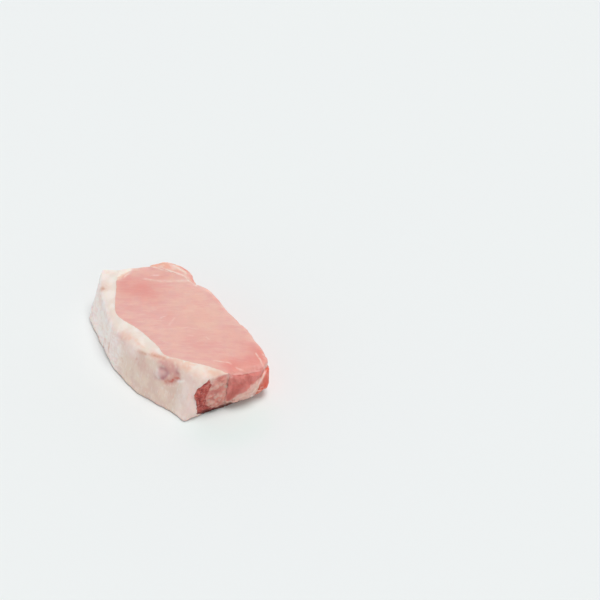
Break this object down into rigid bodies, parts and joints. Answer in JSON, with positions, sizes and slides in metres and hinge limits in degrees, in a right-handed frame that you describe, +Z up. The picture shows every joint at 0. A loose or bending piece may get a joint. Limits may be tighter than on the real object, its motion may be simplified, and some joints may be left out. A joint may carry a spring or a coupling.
{
  "type": "pork loin medallion",
  "caption": "Raw boneless pork loin medallion lying flat, a thick oval slice of pale pink eye muscle with a fat cap along one side.",
  "frame": {"origin": "centre of the bounding box in plan, on the plane that the underside rests on", "axes": "+X along the length towards the near end with the dark strip muscle, -Y towards the fat side, +Z up through the thickness"},
  "size_m": [0.1076, 0.0594, 0.0265],
  "materials": {
    "fat": "soft, slightly moist cream white fat",
    "lean": "moist pale pink lean with fine grain",
    "chine_lean": "moist orange pink lean",
    "dark_lean": "moist dark red lean with coarse grain",
    "corner_lean": "moist red orange lean"
  },
  "bodies": {
    "root": {"fat_cap": "fat", "loin_eye": "lean", "chine_muscle": "chine_lean", "corner_muscle": "corner_lean", "strip_muscle": "dark_lean"}
  },
  "joints": []
}
